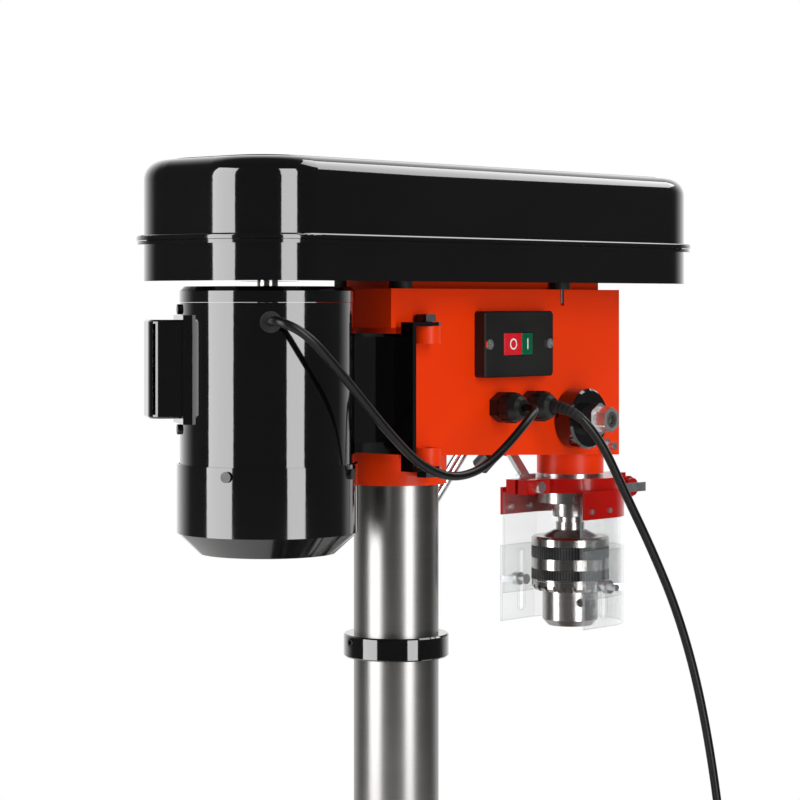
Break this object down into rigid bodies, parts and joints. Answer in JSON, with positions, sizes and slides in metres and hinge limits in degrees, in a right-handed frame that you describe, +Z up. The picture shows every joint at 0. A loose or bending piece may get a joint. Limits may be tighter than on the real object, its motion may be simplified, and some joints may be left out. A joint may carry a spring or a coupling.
{
  "type": "drill press",
  "caption": "Bench drill press: base, round column, tilting rack-raised table, sheet-metal head with quill feed, key chuck, clear guard, stepped belt drive under a lid, and rear motor.",
  "frame": {"origin": "the column's axis on the underside of the base", "axes": "+X to the operator's right, +Y back toward the motor, +Z up"},
  "size_m": [0.3311, 0.5098, 0.8412],
  "materials": {
    "base_paint": "satin black enamel on cast iron",
    "column_steel": "ground steel tube",
    "bright_steel": "machined steel",
    "dark_steel": "blackened steel",
    "zinc": "bright zinc plate",
    "chrome": "polished chrome plate",
    "black_paint": "gloss black enamel",
    "orange_paint": "gloss orange powder coat",
    "red_paint": "gloss dark red enamel",
    "table_iron": "machined cast iron",
    "aluminium": "turned aluminium",
    "black_plastic": "satin black moulding",
    "red_plastic": "gloss red moulding",
    "green_plastic": "gloss green moulding",
    "clear_plastic": "clear polycarbonate sheet",
    "rubber": "moulded rubber",
    "cable": "flexible black cable sheath"
  },
  "bodies": {
    "frame": {"base_plate": "base_paint", "column_flange": "base_paint", "column": "column_steel", "rack_collar": "black_paint", "fixed_bolts": "dark_steel", "head_housing": "orange_paint", "quill_guide_tube": "bright_steel", "head_screws": "zinc", "spring_cap": "black_paint", "return_spring": "bright_steel", "switch_box": "black_plastic", "cable_glands": "black_plastic", "guard_collar": "red_paint", "guard_stay": "zinc", "belt_tray": "black_paint", "tray_washers": "rubber", "tray_hinges": "black_paint", "sleeve_bearings": "bright_steel", "v_belt": "rubber", "motor_cable": "cable", "mains_cord": "cable", "mains_coil": "cable", "mains_plug": "cable"},
    "rack_swing": {"rack": "bright_steel"},
    "bracket": {"table_bracket": "base_paint", "tilt_bolt": "bright_steel"},
    "crank": {"lift_crank": "bright_steel"},
    "lock_lever": {"table_lock": "bright_steel"},
    "table": {"work_table": "table_iron"},
    "lid": {"belt_lid": "black_paint", "lid_fittings": "black_paint"},
    "quill_slide": {"quill": "bright_steel"},
    "spindle_turn": {"spindle": "bright_steel", "chuck_body": "bright_steel"},
    "chuck_ring": {"chuck_sleeve": "bright_steel"},
    "jaw_1": {"chuck_jaw_1": "bright_steel"},
    "jaw_2": {"chuck_jaw_2": "bright_steel"},
    "jaw_3": {"chuck_jaw_3": "bright_steel"},
    "pulley_turn": {"spindle_pulley": "aluminium", "drive_sleeve": "bright_steel"},
    "motor_mount": {"motor_bracket": "black_paint", "motor_body": "black_paint", "motor_fan_cover": "black_paint", "motor_fasteners": "zinc", "capacitor_box": "black_paint", "cable_grommet": "rubber"},
    "rotor_turn": {"motor_rotor": "bright_steel", "motor_pulley": "aluminium"},
    "feed": {"feed_pinion_shaft": "bright_steel", "spring_nuts": "chrome", "feed_hub": "black_paint", "feed_rods": "chrome", "feed_knobs": "black_plastic"},
    "stop_ring": {"depth_ring": "aluminium"},
    "guard": {"guard_hood": "red_paint", "guard_upper_shield": "clear_plastic", "guard_fasteners": "zinc"},
    "lower_guard": {"guard_lower_shield": "clear_plastic"},
    "off_button": {"button_off": "red_plastic"},
    "on_button": {"button_on": "green_plastic"}
  },
  "joints": [
    {"name": "table_swing", "type": "hinge", "parent": "frame", "child": "rack_swing", "pos_m": [0, 0, 0.3], "axis": [0, 0, 1], "range_deg": [0, 90]},
    {"name": "table_lift", "type": "slide", "parent": "rack_swing", "child": "bracket", "axis": [0, 0, 1], "range_m": [-0.085, 0.18]},
    {"name": "crank_turn", "type": "hinge", "parent": "bracket", "child": "crank", "pos_m": [0.04, -0.04775, 0.234], "axis": [-1, 0, 0], "range_deg": [-420, 880]},
    {"name": "lock_turn", "type": "hinge", "parent": "bracket", "child": "lock_lever", "pos_m": [0.02, 0.052, 0.236], "axis": [1, 0, 0], "range_deg": [-30, 60]},
    {"name": "table_tilt", "type": "hinge", "parent": "bracket", "child": "table", "pos_m": [0, -0.12, 0.24], "axis": [0, 1, 0], "range_deg": [-45, 45]},
    {"name": "lid_open", "type": "hinge", "parent": "frame", "child": "lid", "pos_m": [0.0815, -0.0385, 0.78615], "axis": [0, 1, 0], "range_deg": [0, 100]},
    {"name": "quill_feed", "type": "slide", "parent": "frame", "child": "quill_slide", "axis": [0, 0, -1], "range_m": [0, 0.06], "stiffness_N_per_m": 350, "springref_m": -0.12},
    {"name": "feed_turn", "type": "hinge", "parent": "frame", "child": "feed", "pos_m": [0, -0.16225, 0.659], "axis": [1, 0, 0], "range_deg": [0, 219]},
    {"name": "stop_ring_turn", "type": "hinge", "parent": "frame", "child": "stop_ring", "pos_m": [0.037, -0.16225, 0.659], "axis": [1, 0, 0], "range_deg": [-60, 60]},
    {"name": "motor_spin", "type": "hinge", "parent": "motor_mount", "child": "rotor_turn", "pos_m": [0, 0.127, 0.7], "axis": [0, 0, 1], "continuous": true},
    {"name": "pulley_spin", "type": "hinge", "parent": "frame", "child": "pulley_turn", "pos_m": [0, -0.196, 0.79], "axis": [0, 0, 1], "continuous": true},
    {"name": "spindle_spin", "type": "hinge", "parent": "quill_slide", "child": "spindle_turn", "pos_m": [0, -0.196, 0.65], "axis": [0, 0, 1], "continuous": true},
    {"name": "chuck_ring_turn", "type": "hinge", "parent": "spindle_turn", "child": "chuck_ring", "pos_m": [0, -0.196, 0.547], "axis": [0, 0, 1], "range_deg": [0, 360]},
    {"name": "jaw_slide_1", "type": "slide", "parent": "spindle_turn", "child": "jaw_1", "axis": [0, -0.309, -0.9511], "range_m": [0, 0.0066]},
    {"name": "jaw_slide_2", "type": "slide", "parent": "spindle_turn", "child": "jaw_2", "axis": [0.2676, 0.1545, -0.9511], "range_m": [0, 0.0066]},
    {"name": "jaw_slide_3", "type": "slide", "parent": "spindle_turn", "child": "jaw_3", "axis": [-0.2676, 0.1545, -0.9511], "range_m": [0, 0.0066]},
    {"name": "motor_swing", "type": "hinge", "parent": "frame", "child": "motor_mount", "pos_m": [-0.0425, 0.015, 0.68], "axis": [0, 0, 1], "range_deg": [-1, 4], "deforming": ["v_belt", "motor_cable"]},
    {"name": "guard_flip", "type": "hinge", "parent": "frame", "child": "guard", "pos_m": [0, -0.259, 0.6015], "axis": [-1, 0, 0], "range_deg": [0, 85]},
    {"name": "shield_slide", "type": "slide", "parent": "guard", "child": "lower_guard", "axis": [0, 0, 1], "range_m": [-0.018, 0.018]},
    {"name": "off_press", "type": "slide", "parent": "frame", "child": "off_button", "axis": [0.9994, 0.0338, 0], "range_m": [0, 0.0022], "stiffness_N_per_m": 500, "springref_m": -0.002},
    {"name": "on_press", "type": "slide", "parent": "frame", "child": "on_button", "axis": [0.9994, 0.0338, 0], "range_m": [0, 0.0022], "stiffness_N_per_m": 500, "springref_m": -0.002}
  ],
  "couplings": [
    {"joint": "crank_turn", "follows": "table_lift", "rad_per_m": 83.333},
    {"joint": "feed_turn", "follows": "quill_feed", "rad_per_m": 63.492},
    {"joint": "pulley_spin", "follows": "motor_spin", "ratio": 0.79167},
    {"joint": "spindle_spin", "follows": "motor_spin", "ratio": 0.79167},
    {"joint": "jaw_slide_1", "follows": "chuck_ring_turn", "m_per_rad": 0.00105},
    {"joint": "jaw_slide_2", "follows": "chuck_ring_turn", "m_per_rad": 0.00105},
    {"joint": "jaw_slide_3", "follows": "chuck_ring_turn", "m_per_rad": 0.00105}
  ]
}
